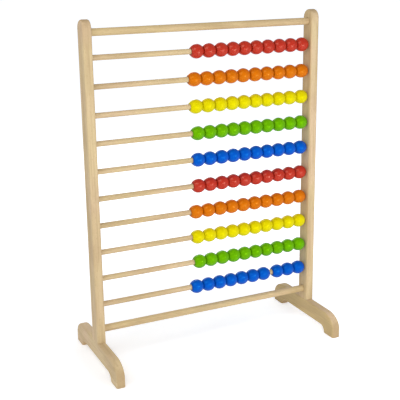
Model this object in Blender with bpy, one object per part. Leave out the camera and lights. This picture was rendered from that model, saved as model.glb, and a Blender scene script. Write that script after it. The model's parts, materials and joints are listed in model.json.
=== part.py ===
"""Standing counting frame (classroom abacus) in beech with painted beads.

Two posts stand on front-to-back feet. A thick rail joins the posts above and
below ten thin rods, and each rod carries ten beads that slide along it.
Metres, +Z up, front towards -Y. The origin lies on the floor, midway between
the posts and midway between the front and the back of the feet.
"""

import math

import bmesh
import bpy

# Driving dimensions, in metres.
INNER_WIDTH = 0.518
POST_WIDTH = 0.020
POST_DEPTH = 0.0375
POST_TOP = 0.7545
STAND_EDGE_RADIUS = 0.0045

FOOT_LENGTH = 0.273
FOOT_HEIGHT = 0.0525
FOOT_SHOULDER_LENGTH = 0.045
FOOT_SHOULDER_HEIGHT = 0.031
FOOT_PAD_LENGTH = 0.040
FOOT_COVE_LENGTH = 0.016
FOOT_ARCH_HEIGHT = 0.014

ROWS = 10
LOWEST_ROD_HEIGHT = 0.1365
ROD_SPACING = 0.060
ROD_RADIUS = 0.006
RAIL_RADIUS = 0.008
TOP_RAIL_HEIGHT = 0.728
BOTTOM_RAIL_HEIGHT = 0.0785
SOCKET_DEPTH = 0.012

BEAD_RADIUS = 0.016
BEAD_BORE_RADIUS = 0.0065
BEAD_RIM_RADIUS = 0.0085
BEADS_PER_ROW = 10
BEAD_BLOCKS = (2, 3, 2, 3)
PARTED_ROW = ROWS
PARTED_AFTER_BEAD = 7
PARTED_GAP = 0.0077

SCREW_HEAD_RADIUS = 0.004
SCREW_SHANK_RADIUS = 0.0022
SCREW_HEAD_HEIGHT = 0.003
SCREW_LENGTH = 0.050
SCREW_OFFSET = 0.009

CLEARANCE = 0.0003
TURNED_SEGMENTS = 16
BEAD_SEGMENTS = 14
BEAD_RING_SHARES = (-0.35, 0.0, 0.35)
EDGE_SEGMENTS = 2
ARC_STEPS = 6
COVE_STEPS = 4
FLAT_SMOOTH_ANGLE = 35.0
BEAD_SMOOTH_ANGLE = 60.0

# Bead colour (linear RGB) and bead length for each colour, repeated down the rows.
BEAD_COLOURS = (
    ("red", (0.56, 0.022, 0.018), 0.0294),
    ("orange", (0.75, 0.19, 0.006), 0.0301),
    ("yellow", (0.80, 0.75, 0.006), 0.0298),
    ("green", (0.15, 0.52, 0.004), 0.0294),
    ("blue", (0.004, 0.10, 0.62), 0.0294),
)
BEECH_COLOUR = (0.73, 0.53, 0.32)
STEEL_COLOUR = (0.60, 0.60, 0.58)

POST_CENTRE = INNER_WIDTH / 2 + POST_WIDTH / 2
SIDES = (("left", -1), ("right", 1))


def clear_scene():
    for obj in list(bpy.data.objects):
        bpy.data.objects.remove(obj, do_unlink=True)


def material(name, colour, roughness, metallic=0.0):
    result = bpy.data.materials.new(name)
    result.use_nodes = True
    result.diffuse_color = (*colour, 1.0)
    shader = result.node_tree.nodes["Principled BSDF"]
    shader.inputs["Base Color"].default_value = (*colour, 1.0)
    shader.inputs["Roughness"].default_value = roughness
    shader.inputs["Metallic"].default_value = metallic
    return result


def beech():
    return material("beech", BEECH_COLOUR, 0.55)


def steel():
    return material("steel", STEEL_COLOUR, 0.35, 1.0)


def bead_paint(name, colour):
    return material(name + "_paint", colour, 0.35)


def add_object(name, bm, location, surface, smooth_angle=FLAT_SMOOTH_ANGLE):
    """Turns a finished bmesh into a named object with its faces pointing outwards."""
    bmesh.ops.recalc_face_normals(bm, faces=bm.faces)
    mesh = bpy.data.meshes.new(name)
    bm.to_mesh(mesh)
    bm.free()
    mesh.shade_smooth()
    mesh.set_sharp_from_angle(angle=math.radians(smooth_angle))
    mesh.materials.append(surface)
    obj = bpy.data.objects.new(name, mesh)
    obj.location = location
    bpy.context.scene.collection.objects.link(obj)
    return obj


def ring(bm, along, radius, segments, axis):
    """Adds one ring of vertices around the X or Z axis, at a distance along it."""
    vertices = []
    for step in range(segments):
        angle = 2 * math.pi * (step + 0.5) / segments
        first, second = radius * math.cos(angle), radius * math.sin(angle)
        place = (along, first, second) if axis == "X" else (first, second, along)
        vertices.append(bm.verts.new(place))
    return vertices


def turned(stations, segments, axis="X", hollow=False):
    """A turned solid from (distance, radius) stations. A hollow one closes on its first ring."""
    bm = bmesh.new()
    rings = [ring(bm, along, radius, segments, axis) for along, radius in stations]
    pairs = list(zip(rings, rings[1:]))
    if hollow:
        pairs.append((rings[-1], rings[0]))
    else:
        bm.faces.new(rings[0])
        bm.faces.new(rings[-1])
    for near, far in pairs:
        for step in range(segments):
            after = (step + 1) % segments
            bm.faces.new((near[step], near[after], far[after], far[step]))
    return bm


def arc(centre, length, height, start, end, steps=ARC_STEPS):
    """Points (y, z) on part of an ellipse, both ends included, from its two half axes.

    Angles are in degrees from +Y. Equal half axes give part of a circle.
    """
    points = []
    for step in range(steps + 1):
        angle = math.radians(start + (end - start) * step / steps)
        points.append((centre[0] + length * math.cos(angle), centre[1] + height * math.sin(angle)))
    return points


def is_routed(edge, width):
    """True for an edge of a board's broad faces, apart from the ones that stand on the floor."""
    first, second = (vertex.co for vertex in edge.verts)
    same_face = abs(first.x - second.x) < width / 2
    return same_face and max(first.z, second.z) > CLEARANCE


def board(outline, width):
    """A board cut to a (y, z) outline and centred on X, with its routed edges rounded."""
    bm = bmesh.new()
    corners = [bm.verts.new((-width / 2, y, z)) for y, z in outline]
    face = bm.faces.new(corners)
    grown = bmesh.ops.extrude_face_region(bm, geom=[face])
    moved = [item for item in grown["geom"] if isinstance(item, bmesh.types.BMVert)]
    bmesh.ops.translate(bm, verts=moved, vec=(width, 0, 0))
    bmesh.ops.recalc_face_normals(bm, faces=bm.faces)
    bmesh.ops.bevel(
        bm,
        geom=[edge for edge in bm.edges if is_routed(edge, width)],
        offset=STAND_EDGE_RADIUS,
        segments=EDGE_SEGMENTS,
        profile=0.5,
        affect="EDGES",
        clamp_overlap=True,
    )
    return bm


def saw(bm, height, keep_above):
    """Saws a solid across at a height, keeps one part and closes the sawn face."""
    sawn = bmesh.ops.bisect_plane(
        bm,
        geom=list(bm.verts) + list(bm.edges) + list(bm.faces),
        plane_co=(0, 0, height),
        plane_no=(0, 0, 1),
        clear_inner=keep_above,
        clear_outer=not keep_above,
    )
    rim = [item for item in sawn["geom_cut"] if isinstance(item, bmesh.types.BMEdge)]
    bmesh.ops.holes_fill(bm, edges=rim)
    return bm


def cut(obj, cutter):
    """Cuts one helper solid from an object and hides the helper."""
    cutter.hide_render = True
    cutter.display_type = "WIRE"
    modifier = obj.modifiers.new(cutter.name, "BOOLEAN")
    modifier.operation = "DIFFERENCE"
    modifier.object = cutter
    modifier.solver = "EXACT"


def rod_height(row):
    """Height of a row's rod. Row 1 is the highest."""
    return LOWEST_ROD_HEIGHT + (ROWS - row) * ROD_SPACING


def bar_places():
    """(name, height, radius) of the two rails and the ten rods."""
    places = [("top_rail", TOP_RAIL_HEIGHT, RAIL_RADIUS)]
    places += [(f"rod_{row:02d}", rod_height(row), ROD_RADIUS) for row in range(1, ROWS + 1)]
    places.append(("bottom_rail", BOTTOM_RAIL_HEIGHT, RAIL_RADIUS))
    return places


def stand_outline():
    """Side view of a foot and its post: two pads, coves, round shoulders and a half-round top."""
    half = FOOT_LENGTH / 2
    shoulder = half - FOOT_SHOULDER_LENGTH
    shoulder_base = FOOT_HEIGHT - FOOT_SHOULDER_HEIGHT
    cove = half - FOOT_PAD_LENGTH - FOOT_COVE_LENGTH
    post = POST_DEPTH / 2

    outline = [(half, 0)]
    outline += arc((shoulder, shoulder_base), FOOT_SHOULDER_LENGTH, FOOT_SHOULDER_HEIGHT, 0, 90)
    outline.append((post, FOOT_HEIGHT))
    outline += arc((0, POST_TOP - post), post, post, 0, 180, 2 * ARC_STEPS)
    outline.append((-post, FOOT_HEIGHT))
    outline += arc((-shoulder, shoulder_base), FOOT_SHOULDER_LENGTH, FOOT_SHOULDER_HEIGHT, 90, 180)
    outline.append((-half, 0))
    outline += arc((-cove, 0), FOOT_COVE_LENGTH, FOOT_ARCH_HEIGHT, 180, 90, COVE_STEPS)
    outline += arc((cove, 0), FOOT_COVE_LENGTH, FOOT_ARCH_HEIGHT, 90, 0, COVE_STEPS)
    return outline


def screw_stations(grow=0.0):
    """Profile of a countersunk screw from its head up to its tip, or of its hole when grown."""
    base = FOOT_ARCH_HEIGHT + CLEARANCE
    low = base - FOOT_ARCH_HEIGHT / 2 if grow else base
    tip = base + SCREW_LENGTH
    return [
        (low, SCREW_HEAD_RADIUS + grow),
        (base + grow, SCREW_HEAD_RADIUS + grow),
        (base + grow + SCREW_HEAD_HEIGHT, SCREW_SHANK_RADIUS + grow),
        (tip - SCREW_SHANK_RADIUS, SCREW_SHANK_RADIUS + grow),
        (tip + grow, SCREW_SHANK_RADIUS / 2 + grow),
    ]


def make_sockets(side, direction, surface):
    """Helper solids for the blind holes in a post's inner face, one for each bar."""
    helpers = []
    inner = direction * INNER_WIDTH / 2
    for name, height, radius in bar_places():
        stations = [
            (inner - direction * SOCKET_DEPTH, radius + CLEARANCE),
            (inner + direction * (SOCKET_DEPTH + CLEARANCE), radius + CLEARANCE),
        ]
        bm = turned(stations, TURNED_SEGMENTS)
        helpers.append(add_object(f"{side}_{name}_socket", bm, (0, 0, height), surface))
    return helpers


def make_stand(side, direction, surface, steel_surface):
    """One post, the foot under it and the two screws that hold them together."""
    centre = direction * POST_CENTRE
    joint = FOOT_HEIGHT + CLEARANCE
    bm = saw(board(stand_outline(), POST_WIDTH), joint + CLEARANCE, True)
    post = add_object(f"{side}_post", bm, (centre, 0, 0), surface)
    bm = saw(board(stand_outline(), POST_WIDTH), joint, False)
    foot = add_object(f"{side}_foot", bm, (centre, 0, 0), surface)
    for helper in make_sockets(side, direction, surface):
        cut(post, helper)
    for place, offset in (("front", -SCREW_OFFSET), ("back", SCREW_OFFSET)):
        name = f"{side}_{place}_screw"
        where = (centre, offset, 0)
        bm = turned(screw_stations(), TURNED_SEGMENTS, "Z")
        add_object(name, bm, where, steel_surface)
        bm = turned(screw_stations(CLEARANCE), TURNED_SEGMENTS, "Z")
        hole = add_object(f"{name}_hole", bm, where, surface)
        cut(foot, hole)
        cut(post, hole)


def make_bars(surface):
    """The two rails and the ten rods, each let into both posts."""
    reach = INNER_WIDTH / 2 + SOCKET_DEPTH
    for name, height, radius in bar_places():
        bm = turned([(-reach, radius), (reach, radius)], TURNED_SEGMENTS)
        add_object(name, bm, (0, 0, height), surface)


def bead_radius_at(offset, length):
    """Outer radius of a bead at a distance from its middle: an ellipse cut off at the rims."""
    rim = BEAD_RIM_RADIUS / BEAD_RADIUS
    half_axis = length / 2 / math.sqrt(1 - rim * rim)
    return BEAD_RADIUS * math.sqrt(1 - (offset / half_axis) ** 2)


def block_stations(count, length):
    """Closed profile of a block of touching beads, out along the beads and back along the bore."""
    half = count * length / 2
    end = half - CLEARANCE / 2
    outer = [(-end, BEAD_RIM_RADIUS)]
    for index in range(count):
        middle = -half + (index + 0.5) * length
        for share in BEAD_RING_SHARES:
            offset = share * length
            outer.append((middle + offset, bead_radius_at(offset, length)))
        if index < count - 1:
            outer.append((middle + length / 2, BEAD_RIM_RADIUS))
    outer.append((end, BEAD_RIM_RADIUS))
    return outer + [(end, BEAD_BORE_RADIUS), (-end, BEAD_BORE_RADIUS)]


def bead_left_end(row, bead, length):
    """X of the left end of a bead. Bead 1 is the leftmost and the last one meets the right post."""
    gap = PARTED_GAP if row == PARTED_ROW and bead <= PARTED_AFTER_BEAD else 0.0
    return INNER_WIDTH / 2 - CLEARANCE - (BEADS_PER_ROW + 1 - bead) * length - gap


def make_row(row, length, paint):
    """The bead blocks of one row, each a single solid threaded on the row's rod."""
    first = 1
    for count in BEAD_BLOCKS:
        last = first + count - 1
        middle = bead_left_end(row, first, length) + count * length / 2
        bm = turned(block_stations(count, length), BEAD_SEGMENTS, hollow=True)
        name = f"row_{row:02d}_beads_{first}_to_{last}"
        add_object(name, bm, (middle, 0, rod_height(row)), paint, BEAD_SMOOTH_ANGLE)
        first = last + 1


def main():
    clear_scene()
    wood = beech()
    metal = steel()
    for side, direction in SIDES:
        make_stand(side, direction, wood, metal)
    make_bars(wood)
    paints = [(bead_paint(name, colour), length) for name, colour, length in BEAD_COLOURS]
    for row in range(1, ROWS + 1):
        paint, length = paints[(row - 1) % len(paints)]
        make_row(row, length, paint)


main()
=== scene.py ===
"""Looks of a standing counting frame: beech stand, twelve bars and a hundred painted beads.

Metres, +Z up, front towards -Y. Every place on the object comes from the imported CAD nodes,
and the profiles follow the CAD model's dimensions with finer rounding.
"""

import json
import math
import random
from typing import NamedTuple

import bmesh
import bpy
from mathutils import Euler, Matrix, Vector


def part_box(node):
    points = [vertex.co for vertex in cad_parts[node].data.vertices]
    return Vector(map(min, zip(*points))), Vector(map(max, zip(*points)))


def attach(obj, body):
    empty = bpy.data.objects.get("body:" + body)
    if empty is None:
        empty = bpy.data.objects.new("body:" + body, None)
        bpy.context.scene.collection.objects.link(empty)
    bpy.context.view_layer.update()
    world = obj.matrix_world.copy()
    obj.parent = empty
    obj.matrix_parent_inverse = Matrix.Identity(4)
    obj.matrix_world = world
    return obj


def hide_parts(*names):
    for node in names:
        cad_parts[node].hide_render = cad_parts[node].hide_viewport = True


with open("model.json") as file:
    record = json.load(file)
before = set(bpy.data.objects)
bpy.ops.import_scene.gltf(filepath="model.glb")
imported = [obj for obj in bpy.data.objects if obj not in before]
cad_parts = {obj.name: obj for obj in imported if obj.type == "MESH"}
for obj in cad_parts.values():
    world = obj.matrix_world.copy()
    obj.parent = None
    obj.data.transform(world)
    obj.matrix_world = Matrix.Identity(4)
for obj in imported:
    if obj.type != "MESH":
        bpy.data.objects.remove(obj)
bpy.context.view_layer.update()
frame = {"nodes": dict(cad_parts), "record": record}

MM = 0.001

# Camera: place, heading (from +Y towards +X), tilt and roll in degrees, focal length and
# sensor width in millimetres, and shifts.
CAMERA_PLACE = (-0.8006, -1.6683, 0.8770)
CAMERA_HEADING = 25.217
CAMERA_TILT = -15.113
CAMERA_ROLL = -0.781
CAMERA_LENS = 76.52
CAMERA_SENSOR = 36.0
CAMERA_SHIFT_X = -0.00125
CAMERA_SHIFT_Y = -0.0396

# Bars and their sockets in the posts.
ROD_RADIUS = 6.0 * MM
RAIL_RADIUS = 8.0 * MM
BAR_END_ROUNDING = 0.5 * MM
BAR_SEGMENTS = 40
SOCKET_SLACK = 0.25 * MM
SOCKET_CHAMFER = 0.4 * MM
CUTTER_OVERSHOOT = 5 * MM

# Bead, as it is turned.
BEAD_RADIUS = 16.0 * MM
BEAD_BORE_RADIUS = 6.5 * MM
BEAD_RIM_RADIUS = 8.4 * MM
BEAD_RIM_ROUNDING = 0.6 * MM
BEAD_SEGMENTS = 48
BEAD_STATIONS = 20

# The middle of a quarter round lies this share of its radius in from both of its sides.
ROUND_MIDDLE = 0.3

# Loose beads: how far they hang on the rod, their tilt in degrees, and their length and
# girth as shares of the largest that fits. All the scatter comes from one seed.
BEAD_SAG = 0.3 * MM
BEAD_WOBBLE = 0.3
BEAD_LENGTH_SHARES = (0.985, 0.997)
BEAD_GIRTH_SHARES = (0.992, 1.0)
BEAD_SEED = 7

# Posts and feet. Each side's post and foot are sawn from one outline.
STAND_EDGE_RADIUS = 4.5 * MM
FOOT_SHOULDER_LENGTH = 45 * MM
FOOT_SHOULDER_HEIGHT = 31 * MM
FOOT_PAD_LENGTH = 40 * MM
FOOT_COVE_LENGTH = 16 * MM
FOOT_ARCH_HEIGHT = 14 * MM
JOINT_GAP = 0.3 * MM
EDGE_SEGMENTS = 6
ARC_STEPS = 20

# Screws under the feet, with a cross recess.
SCREW_HEAD_RADIUS = 4.0 * MM
SCREW_HEAD_HEIGHT = 3.0 * MM
SCREW_SHANK_RADIUS = 2.2 * MM
SCREW_RECESS_LENGTH = 4.6 * MM
SCREW_RECESS_WIDTH = 1.0 * MM
SCREW_RECESS_DEPTH = 1.8 * MM
SCREW_RIM_ROUNDING = 0.2 * MM
SCREW_SEGMENTS = 32

# Edges that turn by more degrees than this stay sharp, and large flat faces set the shading
# of the rounded edges beside them. An edge no higher than the last value is on the floor.
SHARP_ANGLE = 40.0
FLAT_FACE_WEIGHT = 100
ON_FLOOR = 0.01 * MM

# Soft lights as (name, place, target, size in metres, watts).
SOFT_LIGHTS = (
    ("top_left", (-1.0, -1.0, 2.0), (0, 0, 0.4), (1.0, 1.0), 10.0),
    ("low_front", (0.0, -1.7, 0.45), (0, 0, 0.45), (1.6, 0.22), 5.4),
    ("left", (-1.9, -1.0, 1.2), (0, 0, 0.4), (0.9, 0.8), 3.3),
    ("front_right", (1.2, -1.9, 0.8), (0, 0, 0.4), (1.1, 0.6), 2.8),
    ("near_right", (0.35, -1.0, 0.35), (0.1, 0, 0.35), (0.4, 0.2), 2.1),
    ("back_fill", (0.35, 2.1, 1.1), (0, 0, 0.4), (1.2, 0.9), 10.0),
    ("small_upper_left", (-1.8, -0.2, 1.95), (0, 0, 0.4), (0.26, 0.26), 3.8),
)

# White surroundings: how bright they are on the object, and how bright the camera sees them.
WHITE = (1.0, 1.0, 1.0, 1.0)
SURROUNDINGS = 0.53
BACKDROP_STRENGTH = 1.0

# Floor: it glows faintly on the object, and the camera sees a further glow that rises with
# the distance from a dim centre, so that only the soft shadow round the feet stays visible.
FLOOR_REACH = 80.0
FLOOR_DROP = 0.2 * MM
FLOOR_COLOUR = (0.92, 0.92, 0.92, 1.0)
FLOOR_ROUGHNESS = 0.9
FLOOR_SPECULAR = 0.1
FLOOR_GLOW = 0.16
FLOOR_GLOW_COLOUR = (1.0, 1.055, 1.16, 1.0)
FLOOR_WHITENING = (0.094, 0.36)
FLOOR_DIM_CENTRE = (-0.20, 0.0)
FLOOR_DIM_REACH = 0.85

# Beech, in linear colours.
BEECH_YELLOW = (0.652, 0.513, 0.296)
BEECH_PINK = (0.670, 0.502, 0.325)
BEECH_AMBER = (0.580, 0.440, 0.190)
BEECH_LINE = (0.420, 0.290, 0.150)
BEECH_FLECK = (0.340, 0.200, 0.090)


class GrainLayer(NamedTuple):
    """A stretched noise that darkens the wood.

    lengthwise and crosswise say how often it repeats in a metre, along the grain and across it.
    """

    lengthwise: float
    crosswise: float
    detail: float
    roughness: float
    distortion: float
    starts_at: float
    full_at: float
    amount: float
    colour: tuple


# A layer begins to darken the wood where its noise is starts_at, and is at its amount by full_at.
GRAIN_LAYERS = {
    "clouds": GrainLayer(
        9.0, 34.0, detail=2.0, roughness=0.55, distortion=0.9,
        starts_at=0.36, full_at=0.66, amount=0.34, colour=BEECH_LINE,
    ),
    "streaks": GrainLayer(
        3.4, 88.0, detail=3.0, roughness=0.6, distortion=0.9,
        starts_at=0.48, full_at=0.68, amount=0.44, colour=BEECH_LINE,
    ),
    "bands": GrainLayer(
        5.0, 420.0, detail=3.0, roughness=0.55, distortion=0.2,
        starts_at=0.45, full_at=0.75, amount=0.22, colour=BEECH_LINE,
    ),
    "flecks": GrainLayer(
        150.0, 1250.0, detail=1.0, roughness=0.4, distortion=0.0,
        starts_at=0.63, full_at=0.72, amount=0.42, colour=BEECH_FLECK,
    ),
    "fibres": GrainLayer(
        30.0, 2100.0, detail=2.0, roughness=0.6, distortion=0.0,
        starts_at=0.3, full_at=0.7, amount=0.12, colour=BEECH_LINE,
    ),
}

# Slow drift of hue, tint by facing, end grain, roughness, gloss and relief of the beech. The tint
# by facing is partly the board's own colour and partly painted light and shade. Each SPREAD or
# FACING gives the two values between which something changes.
HUE_SCALE = 9.0
HUE_SPREAD = (0.35, 0.65)
SEED_STEPS = (1.7, 2.3, 3.1)
AMBER_AND_SHADE_FACING = (0.3, 0.9)
END_GRAIN_FACING = (0.55, 0.95)
END_GRAIN_AMOUNT = 0.68
BEECH_ROUGHNESS = (0.50, 0.62)
BEECH_ROUGHNESS_SPREAD = (0.6, 1.4)
BEECH_SPECULAR = 0.20
FIBRE_RELIEF = 0.5
FLECK_RELIEF = 0.7
BEECH_BUMP = 0.35
BEECH_BUMP_DEPTH = 0.08 * MM

# Each piece's seed chooses its grain, and its amber shares tint its faces across X, Y and Z.
# These shares are partly the board's own colour and partly painted light and shade, set for how
# light falls and bounces on each side of each piece.
POST_SEEDS = {"left": 281, "right": 2}
FOOT_SEEDS = {"left": 85, "right": 286}
BAR_SEED = 340
POST_AMBER_AND_SHADE = {"left": (0.0, 0.1, 0.0), "right": (0.25, 0.0, 0.0)}
FOOT_AMBER_AND_SHADE = {"left": (0.0, 0.0, 0.0), "right": (0.75, 0.0, 0.0)}
RAIL_AMBER_AND_SHADE = (0.0, 0.4, 0.4)
ROD_AMBER_AND_SHADE = (0.0, 0.15, 0.15)


class Paint(NamedTuple):
    """Linear colour, the share of it that the darkest grain and the painted shade at the bead's
    ends keep, and the gloss's tint.
    """

    colour: tuple
    deep_grain_and_shade_share: float
    gloss: tuple


# Bead paints, in the order of the rows from the top.
# The second value also sets how dark the painted shade at each bead's ends gets.
PAINTS = {
    "red": Paint((0.446, 0.022, 0.009), 0.55, (1.0, 0.62, 0.48)),
    "orange": Paint((0.592, 0.141, 0.001), 0.63, (1.0, 0.62, 0.12)),
    "yellow": Paint((0.662, 0.586, 0.001), 0.80, (1.0, 0.90, 0.02)),
    "green": Paint((0.115, 0.373, 0.001), 0.62, (0.45, 1.0, 0.02)),
    "blue": Paint((0.001, 0.080, 0.500), 0.60, (0.04, 0.50, 1.0)),
}

# Mottling, grain, painted shade towards the bead's ends where the beads meet, a worn rim round
# the bore, roughness, gloss and relief of the paint. A rim is a pair of distances from the
# bead's axis: where it begins to fade, and where it ends.
PALE_SHARE = 1.06
NOISE_MIDDLE = 0.5
MOTTLE_SCALE = 110.0
MOTTLE_SPREAD = (0.35, 0.68)
PAINT_GRAIN_SCALES = (90.0, 900.0, 420.0)
PAINT_GRAIN_SPREAD = (0.52, 0.74)
PAINT_GRAIN_AMOUNT = 0.13
PEEL_SCALE = 1500.0
RAGGED_EDGE = 1.2 * MM
# Painted shade towards each end of a bead, where it meets the next bead.
PAINTED_SHADE_RIM = (7.8 * MM, 11.5 * MM)
PAINTED_SHADE_RIM_AMOUNT = 0.75
BARE_RIM = (6.6 * MM, 7.3 * MM)
BARE_RIM_AMOUNT = 0.9
PAINT_ROUGHNESS = (0.19, 0.24)
PAINT_ROUGHNESS_SPREAD = (0.3, 0.7)
BARE_ROUGHNESS = 0.4
PAINT_SPECULAR = 0.50
PAINT_GRAIN_RELIEF = 0.6
PEEL_RELIEF = 0.2
PAINT_BUMP = 0.08
PAINT_BUMP_DEPTH = 0.10 * MM

# Zinc-plated steel of the screws.
STEEL_DARK = (0.52, 0.52, 0.50)
STEEL_PALE = (0.70, 0.70, 0.68)
STEEL_MARK_SCALE = 1800.0
STEEL_MARK_SPREAD = (0.3, 0.7)
STEEL_ROUGHNESS = (0.26, 0.40)
STEEL_BUMP = 0.2
STEEL_BUMP_DEPTH = 0.03 * MM


# --- Shader helpers -------------------------------------------------------------------------


class Nodes:
    """Adds nodes to one material and links them with plain calls."""

    def __init__(self, name):
        self.material = bpy.data.materials.new(name)
        self.material.use_nodes = True
        self.tree = self.material.node_tree
        self.shader = self.tree.nodes["Principled BSDF"]

    def add(self, kind, **settings):
        node = self.tree.nodes.new("ShaderNode" + kind)
        for key, value in settings.items():
            setattr(node, key, value)
        return node

    def link(self, source, target):
        self.tree.links.new(source, target)

    def feed(self, socket, value):
        """Sets a socket from a number, a tuple or another socket."""
        if isinstance(value, bpy.types.NodeSocket):
            self.link(value, socket)
        else:
            socket.default_value = value

    def object_coordinates(self, shift=(0, 0, 0), scale=(1, 1, 1)):
        coordinates = self.add("TexCoord").outputs["Object"]
        mapping = self.add("Mapping")
        self.link(coordinates, mapping.inputs["Vector"])
        mapping.inputs["Location"].default_value = shift
        mapping.inputs["Scale"].default_value = scale
        return mapping.outputs["Vector"]

    def noise(self, vector, scale=1.0, detail=2.0, roughness=0.5, distortion=0.0):
        """A noise between 0 and 1 that varies about scale times in a metre of the vector."""
        node = self.add("TexNoise")
        self.feed(node.inputs["Vector"], vector)
        self.feed(node.inputs["Scale"], scale)
        self.feed(node.inputs["Detail"], detail)
        self.feed(node.inputs["Roughness"], roughness)
        self.feed(node.inputs["Distortion"], distortion)
        return node.outputs["Fac"]

    def remap(self, value, low, high, to_low=0.0, to_high=1.0):
        """Goes smoothly from to_low to to_high while the value goes from low to high."""
        node = self.add("MapRange", interpolation_type="SMOOTHSTEP")
        self.feed(node.inputs["Value"], value)
        node.inputs["From Min"].default_value = low
        node.inputs["From Max"].default_value = high
        node.inputs["To Min"].default_value = to_low
        node.inputs["To Max"].default_value = to_high
        return node.outputs["Result"]

    def math(self, operation, first, second=0.0):
        node = self.add("Math", operation=operation)
        self.feed(node.inputs[0], first)
        self.feed(node.inputs[1], second)
        return node.outputs["Value"]

    def mix(self, factor, first, second):
        """Mixes two colours. Each is a tuple of red, green and blue, or a socket."""
        node = self.add("Mix", data_type="RGBA")
        self.feed(node.inputs["Factor"], factor)
        for socket, value in zip(self.colour_sockets(node.inputs), (first, second)):
            self.feed(socket, (*value, 1.0) if isinstance(value, tuple) else value)
        return self.colour_sockets(node.outputs)[0]

    @staticmethod
    def colour_sockets(sockets):
        """A Mix node has a set of sockets for each kind of value. These are its colours."""
        return [socket for socket in sockets if socket.type == "RGBA"]

    def bump(self, height, strength, distance):
        node = self.add("Bump")
        node.inputs["Strength"].default_value = strength
        node.inputs["Distance"].default_value = distance
        self.link(height, node.inputs["Height"])
        self.link(node.outputs["Normal"], self.shader.inputs["Normal"])

    def separate(self, vector):
        node = self.add("SeparateXYZ")
        self.link(vector, node.inputs["Vector"])
        return node.outputs

    def length(self, first, second):
        """How far the point (first, second) lies from (0, 0)."""
        squares = [self.math("MULTIPLY", part, part) for part in (first, second)]
        return self.math("SQRT", self.math("ADD", *squares))


def along(axis, lengthwise, crosswise):
    """A scale vector that stretches a texture along one axis."""
    return tuple(lengthwise if name == axis else crosswise for name in "XYZ")


def beech(name, axis, seed, amber):
    """Fine-sanded beech with its grain along one axis: clouds, streaks, bands, flecks and fibres.

    The last argument says how far the wood leans to amber on the faces across X, Y and Z. This
    is partly the board's own colour on each side that it's sawn from, and partly painted light
    and shade, set for how light falls and bounces on each side of each piece.
    """
    nodes = Nodes(name)
    shift = tuple(seed * step for step in SEED_STEPS)
    hue = nodes.noise(nodes.object_coordinates(shift), HUE_SCALE)
    tone = nodes.mix(nodes.remap(hue, *HUE_SPREAD), BEECH_YELLOW, BEECH_PINK)

    facing = nodes.separate(nodes.add("TexCoord").outputs["Normal"])
    # Painted light and shade, in part: the amber shares tint each side for how light falls and bounces
    # on it.
    for across, share in zip("XYZ", amber):
        if share > 0.0:
            turned_to = nodes.math("ABSOLUTE", facing[across])
            amber_and_shade_amount = nodes.remap(turned_to, *AMBER_AND_SHADE_FACING, 0.0, share)
            tone = nodes.mix(amber_and_shade_amount, tone, BEECH_AMBER)

    grain = {}
    amounts = {}
    for kind, layer in GRAIN_LAYERS.items():
        vector = nodes.object_coordinates(shift, along(axis, layer.lengthwise, layer.crosswise))
        grain[kind] = nodes.noise(vector, 1.0, layer.detail, layer.roughness, layer.distortion)
        amounts[kind] = nodes.remap(grain[kind], layer.starts_at, layer.full_at, 0.0, layer.amount)
        tone = nodes.mix(amounts[kind], tone, layer.colour)

    end_grain = nodes.math("ABSOLUTE", facing[axis])
    end_amount = nodes.remap(end_grain, *END_GRAIN_FACING, 0.0, END_GRAIN_AMOUNT)
    tone = nodes.mix(end_amount, tone, BEECH_LINE)
    nodes.link(tone, nodes.shader.inputs["Base Color"])

    coarse = nodes.math("ADD", grain["streaks"], grain["fibres"])
    roughness = nodes.remap(coarse, *BEECH_ROUGHNESS_SPREAD, *BEECH_ROUGHNESS)
    nodes.link(roughness, nodes.shader.inputs["Roughness"])
    nodes.shader.inputs["Specular IOR Level"].default_value = BEECH_SPECULAR
    relief = nodes.math("MULTIPLY", grain["fibres"], FIBRE_RELIEF)
    relief = nodes.math("SUBTRACT", relief, nodes.math("MULTIPLY", amounts["flecks"], FLECK_RELIEF))
    nodes.bump(relief, BEECH_BUMP, BEECH_BUMP_DEPTH)
    return nodes.material


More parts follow.
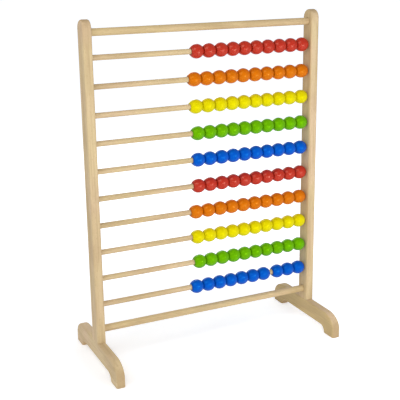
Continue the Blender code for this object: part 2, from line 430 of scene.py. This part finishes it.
def bead_paint(name, paint):
    """Glossy paint over turned wood: faint grain, soft mottling, painted shade towards the ends
    where the beads meet, and a worn rim round the bare bore.
    """
    nodes = Nodes(name)
    plain = nodes.object_coordinates()
    mottle = nodes.noise(plain, MOTTLE_SCALE)
    grain_place = nodes.object_coordinates(scale=PAINT_GRAIN_SCALES)
    grain = nodes.noise(grain_place, detail=3.0, roughness=0.6, distortion=0.3)
    peel = nodes.noise(plain, PEEL_SCALE, 1.0)

    deep = tuple(channel * paint.deep_grain_and_shade_share for channel in paint.colour)
    pale = tuple(min(1.0, channel * PALE_SHARE) for channel in paint.colour)
    tone = nodes.mix(nodes.remap(mottle, *MOTTLE_SPREAD), paint.colour, pale)
    grain_amount = nodes.remap(grain, *PAINT_GRAIN_SPREAD, 0.0, PAINT_GRAIN_AMOUNT)
    tone = nodes.mix(grain_amount, tone, deep)

    parts = nodes.separate(plain)
    radius = nodes.length(parts["Y"], parts["Z"])
    unevenness = nodes.math("SUBTRACT", mottle, NOISE_MIDDLE)
    ragged = nodes.math("ADD", radius, nodes.math("MULTIPLY", unevenness, RAGGED_EDGE))
    # Painted shade: the paint darkens towards each end of the bead, where it meets the next bead.
    painted_shade_rim = nodes.remap(ragged, *PAINTED_SHADE_RIM, PAINTED_SHADE_RIM_AMOUNT, 0.0)
    tone = nodes.mix(painted_shade_rim, tone, deep)
    bare_rim = nodes.remap(ragged, *BARE_RIM, BARE_RIM_AMOUNT, 0.0)
    tone = nodes.mix(bare_rim, tone, BEECH_LINE)
    nodes.link(tone, nodes.shader.inputs["Base Color"])

    roughness = nodes.remap(mottle, *PAINT_ROUGHNESS_SPREAD, *PAINT_ROUGHNESS)
    roughness = nodes.math("ADD", roughness, nodes.math("MULTIPLY", bare_rim, BARE_ROUGHNESS))
    nodes.link(roughness, nodes.shader.inputs["Roughness"])
    nodes.shader.inputs["Specular IOR Level"].default_value = PAINT_SPECULAR
    nodes.shader.inputs["Specular Tint"].default_value = (*paint.gloss, 1.0)
    grain_relief = nodes.math("MULTIPLY", grain, PAINT_GRAIN_RELIEF)
    relief = nodes.math("ADD", grain_relief, nodes.math("MULTIPLY", peel, PEEL_RELIEF))
    nodes.bump(relief, PAINT_BUMP, PAINT_BUMP_DEPTH)
    return nodes.material


def zinc_steel(name):
    """Bright zinc-plated steel with fine turning marks."""
    nodes = Nodes(name)
    marks = nodes.noise(nodes.object_coordinates(), STEEL_MARK_SCALE)
    tone = nodes.mix(nodes.remap(marks, *STEEL_MARK_SPREAD), STEEL_DARK, STEEL_PALE)
    nodes.link(tone, nodes.shader.inputs["Base Color"])
    roughness = nodes.remap(marks, *STEEL_MARK_SPREAD, *STEEL_ROUGHNESS)
    nodes.link(roughness, nodes.shader.inputs["Roughness"])
    nodes.shader.inputs["Metallic"].default_value = 1.0
    nodes.bump(marks, STEEL_BUMP, STEEL_BUMP_DEPTH)
    return nodes.material


# --- Mesh helpers ---------------------------------------------------------------------------


def new_piece(name, bm, place=(0, 0, 0)):
    """Makes an object from a bmesh, smooth except at its sharp edges, and frees the bmesh."""
    bmesh.ops.recalc_face_normals(bm, faces=bm.faces)
    mesh = bpy.data.meshes.new(name)
    bm.to_mesh(mesh)
    bm.free()
    mesh.shade_smooth()
    mesh.set_sharp_from_angle(angle=math.radians(SHARP_ANGLE))
    piece = bpy.data.objects.new(name, mesh)
    piece.location = place
    bpy.context.scene.collection.objects.link(piece)
    return piece


def ring(bm, distance, radius, segments, axis):
    """A ring of vertices round the X or Z axis, at a distance along it."""
    vertices = []
    for step in range(segments):
        angle = 2 * math.pi * step / segments
        first, second = radius * math.cos(angle), radius * math.sin(angle)
        place = (distance, first, second) if axis == "X" else (first, second, distance)
        vertices.append(bm.verts.new(place))
    return vertices


def turned(stations, segments, axis="X", hollow=False):
    """A turned solid from (distance, radius) stations. A hollow one closes on its first ring."""
    bm = bmesh.new()
    rings = [ring(bm, distance, radius, segments, axis) for distance, radius in stations]
    pairs = list(zip(rings, rings[1:]))
    if hollow:
        pairs.append((rings[-1], rings[0]))
    else:
        bm.faces.new(rings[0])
        bm.faces.new(rings[-1])
    for near, far in pairs:
        for step in range(segments):
            after = (step + 1) % segments
            bm.faces.new((near[step], near[after], far[after], far[step]))
    return bm


def arc(centre, length, height, start, end, steps=ARC_STEPS):
    """Points on part of an ellipse, from its two half axes. Angles are in degrees."""
    points = []
    for step in range(steps + 1):
        angle = math.radians(start + (end - start) * step / steps)
        points.append((centre[0] + length * math.cos(angle), centre[1] + height * math.sin(angle)))
    return points


def is_routed(edge, width):
    """True for an edge of a board's broad faces, apart from the ones that stand on the floor."""
    first, second = (vertex.co for vertex in edge.verts)
    same_face = abs(first.x - second.x) < width / 2
    return same_face and max(first.z, second.z) > ON_FLOOR


def board(outline, width):
    """A board cut to a (y, z) outline and centred on X, with its routed edges rounded."""
    bm = bmesh.new()
    face = bm.faces.new([bm.verts.new((-width / 2, y, z)) for y, z in outline])
    grown = bmesh.ops.extrude_face_region(bm, geom=[face])
    moved = [item for item in grown["geom"] if isinstance(item, bmesh.types.BMVert)]
    bmesh.ops.translate(bm, verts=moved, vec=(width, 0, 0))
    bmesh.ops.recalc_face_normals(bm, faces=bm.faces)
    bmesh.ops.bevel(
        bm,
        geom=[edge for edge in bm.edges if is_routed(edge, width)],
        offset=STAND_EDGE_RADIUS,
        segments=EDGE_SEGMENTS,
        profile=0.5,
        affect="EDGES",
    )
    return bm


def bake_place(piece):
    """Moves the piece's place into its mesh, so that cutters in the shared frame line up."""
    piece.data.transform(Matrix.Translation(piece.location))
    piece.location = (0, 0, 0)


def saw(bm, height, keep_above):
    """Saws a solid across at a height, keeps one part and closes the sawn face."""
    sawn = bmesh.ops.bisect_plane(
        bm,
        geom=list(bm.verts) + list(bm.edges) + list(bm.faces),
        plane_co=(0, 0, height),
        plane_no=(0, 0, 1),
        clear_inner=keep_above,
        clear_outer=not keep_above,
    )
    rim = [item for item in sawn["geom_cut"] if isinstance(item, bmesh.types.BMEdge)]
    bmesh.ops.holes_fill(bm, edges=rim)
    return bm


def joined_cutters(cutters):
    """Puts (solid, place) pairs together in one mesh, so that a single cut takes them all."""
    joined = bmesh.new()
    for solid, place in cutters:
        bmesh.ops.translate(solid, verts=solid.verts, vec=place)
        bmesh.ops.recalc_face_normals(solid, faces=solid.faces)
        mesh = bpy.data.meshes.new("cutter")
        solid.to_mesh(mesh)
        solid.free()
        joined.from_mesh(mesh)
        bpy.data.meshes.remove(mesh)
    return joined


def cut_away(piece, bm):
    """Cuts a helper solid from a piece and applies the cut."""
    helper = new_piece(piece.name + "_cutter", bm)
    modifier = piece.modifiers.new("cut", "BOOLEAN")
    modifier.operation = "DIFFERENCE"
    modifier.object = helper
    modifier.solver = "EXACT"
    apply_modifiers(piece)
    bpy.data.objects.remove(helper)


def apply_modifiers(piece):
    """Puts the result of a piece's modifiers in its mesh."""
    graph = bpy.context.evaluated_depsgraph_get()
    made = bpy.data.meshes.new_from_object(piece.evaluated_get(graph))
    piece.modifiers.clear()
    piece.data = made


def even_flats(piece):
    """Keeps flat faces flat in shading beside their rounded edges."""
    modifier = piece.modifiers.new("flats", "WEIGHTED_NORMAL")
    modifier.keep_sharp = True
    modifier.weight = FLAT_FACE_WEIGHT


def finish_piece(piece, surface, body, slot, *nodes):
    """Gives a piece its material, puts it under its body and hides the CAD nodes that it replaces.
    The slot is not used.
    """
    piece.data.materials.clear()
    piece.data.materials.append(surface)
    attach(piece, body)
    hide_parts(*nodes)


# --- Stand ----------------------------------------------------------------------------------


def middle(node):
    """The middle of a CAD node's box."""
    low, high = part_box(node)
    return (low + high) / 2


def bars():
    """(node, middle, half length, radius) of the two rails and the ten rods."""
    found = []
    for node in sorted(frame["nodes"]):
        is_rail = node.endswith("_rail")
        if is_rail or node.startswith("rod_"):
            low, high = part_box(node)
            radius = RAIL_RADIUS if is_rail else ROD_RADIUS
            found.append((node, middle(node), (high.x - low.x) / 2, radius))
    return found


def stand_outline(side):
    """Side view of a foot and its post: two pads, coves, round shoulders and a half-round top."""
    post_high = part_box(f"{side}_post")[1]
    foot_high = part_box(f"{side}_foot")[1]
    half = foot_high.y
    top = foot_high.z - JOINT_GAP
    post = post_high.y
    shoulder = half - FOOT_SHOULDER_LENGTH
    base = top - FOOT_SHOULDER_HEIGHT
    cove = half - FOOT_PAD_LENGTH - FOOT_COVE_LENGTH

    outline = [(half, 0)]
    outline += arc((shoulder, base), FOOT_SHOULDER_LENGTH, FOOT_SHOULDER_HEIGHT, 0, 90)
    outline.append((post, top))
    outline += arc((0, post_high.z - post), post, post, 0, 180, 2 * ARC_STEPS)
    outline.append((-post, top))
    outline += arc((-shoulder, base), FOOT_SHOULDER_LENGTH, FOOT_SHOULDER_HEIGHT, 90, 180)
    outline.append((-half, 0))
    outline += arc((-cove, 0), FOOT_COVE_LENGTH, FOOT_ARCH_HEIGHT, 180, 90)
    outline += arc((cove, 0), FOOT_COVE_LENGTH, FOOT_ARCH_HEIGHT, 90, 0)
    return outline


def socket_cutters(side):
    """The blind sockets of one post for all the bars, each with a chamfered mouth."""
    low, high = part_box(f"{side}_post")
    inner = high.x if side == "left" else low.x
    outward = -1 if side == "left" else 1
    cutters = []
    for _, centre, half_length, radius in bars():
        depth = half_length - abs(inner)
        wide = radius + SOCKET_SLACK + SOCKET_CHAMFER
        stations = [
            (inner - outward * CUTTER_OVERSHOOT, wide),
            (inner, wide),
            (inner + outward * SOCKET_CHAMFER, radius + SOCKET_SLACK),
            (inner + outward * (depth + SOCKET_SLACK), radius + SOCKET_SLACK),
        ]
        cutters.append((turned(stations, BAR_SEGMENTS), (0, centre.y, centre.z)))
    return joined_cutters(cutters)


def screw_cutters(side):
    """The two countersunk screw holes that run up through one foot into its post."""
    cutters = []
    for place in ("front", "back"):
        node = f"{side}_{place}_screw"
        low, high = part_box(node)
        stations = [
            (low.z - FOOT_ARCH_HEIGHT / 2, SCREW_HEAD_RADIUS + SOCKET_SLACK),
            (low.z + SOCKET_SLACK, SCREW_HEAD_RADIUS + SOCKET_SLACK),
            (low.z + SCREW_HEAD_HEIGHT, SCREW_SHANK_RADIUS + SOCKET_SLACK),
            (high.z + SOCKET_SLACK, SCREW_SHANK_RADIUS + SOCKET_SLACK),
        ]
        cutters.append((turned(stations, SCREW_SEGMENTS, "Z"), (middle(node).x, middle(node).y, 0)))
    return joined_cutters(cutters)


def sawn_board(side, node, height, keep_above, cutters):
    """One side's board, sawn across at a height and with its holes cut, as the node's piece."""
    low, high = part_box(node)
    bm = saw(board(stand_outline(side), high.x - low.x), height, keep_above)
    piece = new_piece(node + "_wood", bm, (middle(node).x, 0, 0))
    bake_place(piece)
    for cutter in cutters:
        cut_away(piece, cutter)
    even_flats(piece)
    return piece


def make_post(side):
    node = f"{side}_post"
    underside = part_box(node)[0].z
    holes = (socket_cutters(side), screw_cutters(side))
    post = sawn_board(side, node, underside, keep_above=True, cutters=holes)
    surface = beech(node + "_beech", "Z", POST_SEEDS[side], POST_AMBER_AND_SHADE[side])
    finish_piece(post, surface, "frame", "beech", node)


def make_foot(side):
    node = f"{side}_foot"
    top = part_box(node)[1].z
    foot = sawn_board(side, node, top, keep_above=False, cutters=(screw_cutters(side),))
    surface = beech(node + "_beech", "Y", FOOT_SEEDS[side], FOOT_AMBER_AND_SHADE[side])
    finish_piece(foot, surface, "frame", "beech", node)


def make_bars():
    """The rails and rods: dowels with softened ends."""
    for number, (node, centre, half_length, radius) in enumerate(bars()):
        stations = [
            (-half_length, radius - BAR_END_ROUNDING),
            (-half_length + BAR_END_ROUNDING, radius),
            (half_length - BAR_END_ROUNDING, radius),
            (half_length, radius - BAR_END_ROUNDING),
        ]
        bar = new_piece(node + "_wood", turned(stations, BAR_SEGMENTS), centre)
        even_flats(bar)
        amber = RAIL_AMBER_AND_SHADE if node.endswith("_rail") else ROD_AMBER_AND_SHADE
        surface = beech(node + "_beech", "X", BAR_SEED + number, amber)
        finish_piece(bar, surface, "frame", "beech", node)


def cut_cross_recess(screw, height):
    """Cuts a cross into a screw's head, whose face lies at a height."""
    for size in (
        (SCREW_RECESS_LENGTH, SCREW_RECESS_WIDTH, 2 * SCREW_RECESS_DEPTH),
        (SCREW_RECESS_WIDTH, SCREW_RECESS_LENGTH, 2 * SCREW_RECESS_DEPTH),
    ):
        slot = bmesh.new()
        bmesh.ops.create_cube(slot, size=1.0)
        bmesh.ops.scale(slot, verts=slot.verts, vec=size)
        bmesh.ops.translate(slot, verts=slot.verts, vec=(0, 0, height))
        cut_away(screw, slot)


def make_screw(node, surface):
    """A countersunk screw, its head down."""
    low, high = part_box(node)
    stations = [
        (low.z, SCREW_HEAD_RADIUS - SCREW_RIM_ROUNDING),
        (low.z + SCREW_RIM_ROUNDING, SCREW_HEAD_RADIUS),
        (low.z + SCREW_HEAD_HEIGHT, SCREW_SHANK_RADIUS),
        (high.z - SCREW_SHANK_RADIUS, SCREW_SHANK_RADIUS),
        (high.z, SCREW_SHANK_RADIUS / 2),
    ]
    screw = new_piece(node + "_steel", turned(stations, SCREW_SEGMENTS, "Z"))
    cut_cross_recess(screw, low.z)
    screw.location = (middle(node).x, middle(node).y, 0)
    finish_piece(screw, surface, "frame", "steel", node)


def make_screws(surface):
    for side in ("left", "right"):
        for place in ("front", "back"):
            make_screw(f"{side}_{place}_screw", surface)


# --- Beads ----------------------------------------------------------------------------------


def bead_stations(length):
    """Closed profile of one bead: an oval outside, rounded rims and a straight bore."""
    rim = BEAD_RIM_RADIUS / BEAD_RADIUS
    half = length / 2
    half_axis = half / math.sqrt(1 - rim * rim)
    limit = math.acos(half / half_axis)
    stations = []
    for step in range(BEAD_STATIONS + 1):
        angle = limit + (math.pi - 2 * limit) * step / BEAD_STATIONS
        stations.append((-half_axis * math.cos(angle), BEAD_RADIUS * math.sin(angle)))

    lip = BEAD_BORE_RADIUS + BEAD_RIM_ROUNDING
    mouth = [
        (half, lip),
        (half - ROUND_MIDDLE * BEAD_RIM_ROUNDING, lip - (1 - ROUND_MIDDLE) * BEAD_RIM_ROUNDING),
        (half - BEAD_RIM_ROUNDING, BEAD_BORE_RADIUS),
    ]
    far_mouth = [(-distance, radius) for distance, radius in reversed(mouth)]
    return stations + mouth + far_mouth


def bead_blocks():
    """(node, row, first bead, last bead) of each bead block of the CAD model."""
    found = []
    for node in sorted(frame["nodes"]):
        if node.startswith("row_"):
            words = node.split("_")
            found.append((node, int(words[1]), int(words[3]), int(words[5])))
    return found


def body_of(node):
    """The moving body that a CAD node belongs to."""
    bodies = frame["record"]["behaviour"]["bodies"]
    return next(body for body, members in bodies.items() if node in members)


def bead_matrix(chance, place):
    """A loose bead's place, tilt, turn on its rod and girth."""
    girth = chance.uniform(*BEAD_GIRTH_SHARES)
    turn = Euler((chance.uniform(0, 2 * math.pi), 0, 0)).to_matrix().to_4x4()
    wobble = math.radians(BEAD_WOBBLE)
    tilt = Euler((0, chance.uniform(-wobble, wobble), chance.uniform(-wobble, wobble)))
    grow = Matrix.Diagonal((1.0, girth, girth, 1.0))
    return Matrix.Translation(place) @ tilt.to_matrix().to_4x4() @ turn @ grow


def make_beads(paints):
    """A hundred loose beads, each with its own turn, tilt and slight difference in size."""
    chance = random.Random(BEAD_SEED)
    colours = tuple(PAINTS)
    for node, row, first, last in bead_blocks():
        low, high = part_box(node)
        pitch = (high.x - low.x) / (last - first + 1)
        colour = colours[(row - 1) % len(colours)]
        for bead in range(first, last + 1):
            length = pitch * chance.uniform(*BEAD_LENGTH_SHARES)
            name = f"row_{row:02d}_bead_{bead:02d}"
            piece = new_piece(name, turned(bead_stations(length), BEAD_SEGMENTS, hollow=True))
            centre_x = low.x + (bead - first + 0.5) * pitch
            centre_z = (low.z + high.z) / 2 - BEAD_SAG
            piece.matrix_world = bead_matrix(chance, Vector((centre_x, 0, centre_z)))
            finish_piece(piece, paints[colour], body_of(node), colour + "_paint", node)


# --- Stage ----------------------------------------------------------------------------------


def make_camera():
    """The camera. A camera with no turn looks straight down, so level is 90 degrees up."""
    data = bpy.data.cameras.new("camera")
    data.sensor_width = CAMERA_SENSOR
    data.lens = CAMERA_LENS
    data.shift_x = CAMERA_SHIFT_X
    data.shift_y = CAMERA_SHIFT_Y
    camera = bpy.data.objects.new("camera", data)
    bpy.context.scene.collection.objects.link(camera)
    aim = Euler((math.radians(90 + CAMERA_TILT), 0, math.radians(-CAMERA_HEADING))).to_matrix()
    roll = Matrix.Rotation(math.radians(CAMERA_ROLL), 3, "Z")
    camera.matrix_world = Matrix.Translation(CAMERA_PLACE) @ (aim @ roll).to_4x4()
    bpy.context.scene.camera = camera


def soft_light(name, place, target, size, power):
    """A rectangular light, aimed at a point, that the camera doesn't see."""
    data = bpy.data.lights.new(name, "AREA")
    data.shape = "RECTANGLE"
    data.size, data.size_y = size
    data.energy = power
    light = bpy.data.objects.new(name, data)
    bpy.context.scene.collection.objects.link(light)
    light.visible_camera = False
    light.location = place
    light.rotation_euler = (Vector(target) - Vector(place)).to_track_quat("-Z", "Y").to_euler()


def make_lights():
    for name, place, target, size, power in SOFT_LIGHTS:
        soft_light(name, place, target, size, power)


def make_world():
    """Even white surroundings, a little dimmer on the object than behind it."""
    world = bpy.data.worlds.new("studio")
    world.use_nodes = True
    tree = world.node_tree
    background = tree.nodes["Background"]
    background.inputs["Color"].default_value = WHITE
    background.inputs["Strength"].default_value = SURROUNDINGS
    white = tree.nodes.new("ShaderNodeBackground")
    white.inputs["Color"].default_value = WHITE
    white.inputs["Strength"].default_value = BACKDROP_STRENGTH
    path = tree.nodes.new("ShaderNodeLightPath")
    mix = tree.nodes.new("ShaderNodeMixShader")
    tree.links.new(path.outputs["Is Camera Ray"], mix.inputs["Fac"])
    tree.links.new(background.outputs["Background"], mix.inputs[1])
    tree.links.new(white.outputs["Background"], mix.inputs[2])
    tree.links.new(mix.outputs["Shader"], tree.nodes["World Output"].inputs["Surface"])
    bpy.context.scene.world = world
    bpy.context.scene.view_settings.view_transform = "Standard"


def floor_white():
    """Matt white, with the glow that the floor's values describe."""
    nodes = Nodes("floor_white")
    nodes.shader.inputs["Base Color"].default_value = FLOOR_COLOUR
    nodes.shader.inputs["Roughness"].default_value = FLOOR_ROUGHNESS
    nodes.shader.inputs["Specular IOR Level"].default_value = FLOOR_SPECULAR
    nodes.shader.inputs["Emission Color"].default_value = FLOOR_GLOW_COLOUR
    parts = nodes.separate(nodes.object_coordinates())
    centre_x, centre_y = FLOOR_DIM_CENTRE
    distance = nodes.length(
        nodes.math("SUBTRACT", parts["X"], centre_x),
        nodes.math("SUBTRACT", parts["Y"], centre_y),
    )
    whitening = nodes.remap(distance, 0.0, FLOOR_DIM_REACH, *FLOOR_WHITENING)
    seen = nodes.add("LightPath").outputs["Is Camera Ray"]
    glow = nodes.math("ADD", nodes.math("MULTIPLY", seen, whitening), FLOOR_GLOW)
    nodes.link(glow, nodes.shader.inputs["Emission Strength"])
    return nodes.material


def make_floor():
    """A plain pale floor, just under the feet."""
    bm = bmesh.new()
    bmesh.ops.create_grid(bm, x_segments=1, y_segments=1, size=FLOOR_REACH)
    floor = new_piece("floor", bm, (0, 0, -FLOOR_DROP))
    floor.data.materials.append(floor_white())


def main():
    make_camera()
    make_lights()
    make_world()
    make_floor()
    for side in ("left", "right"):
        make_post(side)
        make_foot(side)
    make_bars()
    make_screws(zinc_steel("zinc_steel"))
    make_beads({name: bead_paint(name + "_bead_paint", paint) for name, paint in PAINTS.items()})


main()
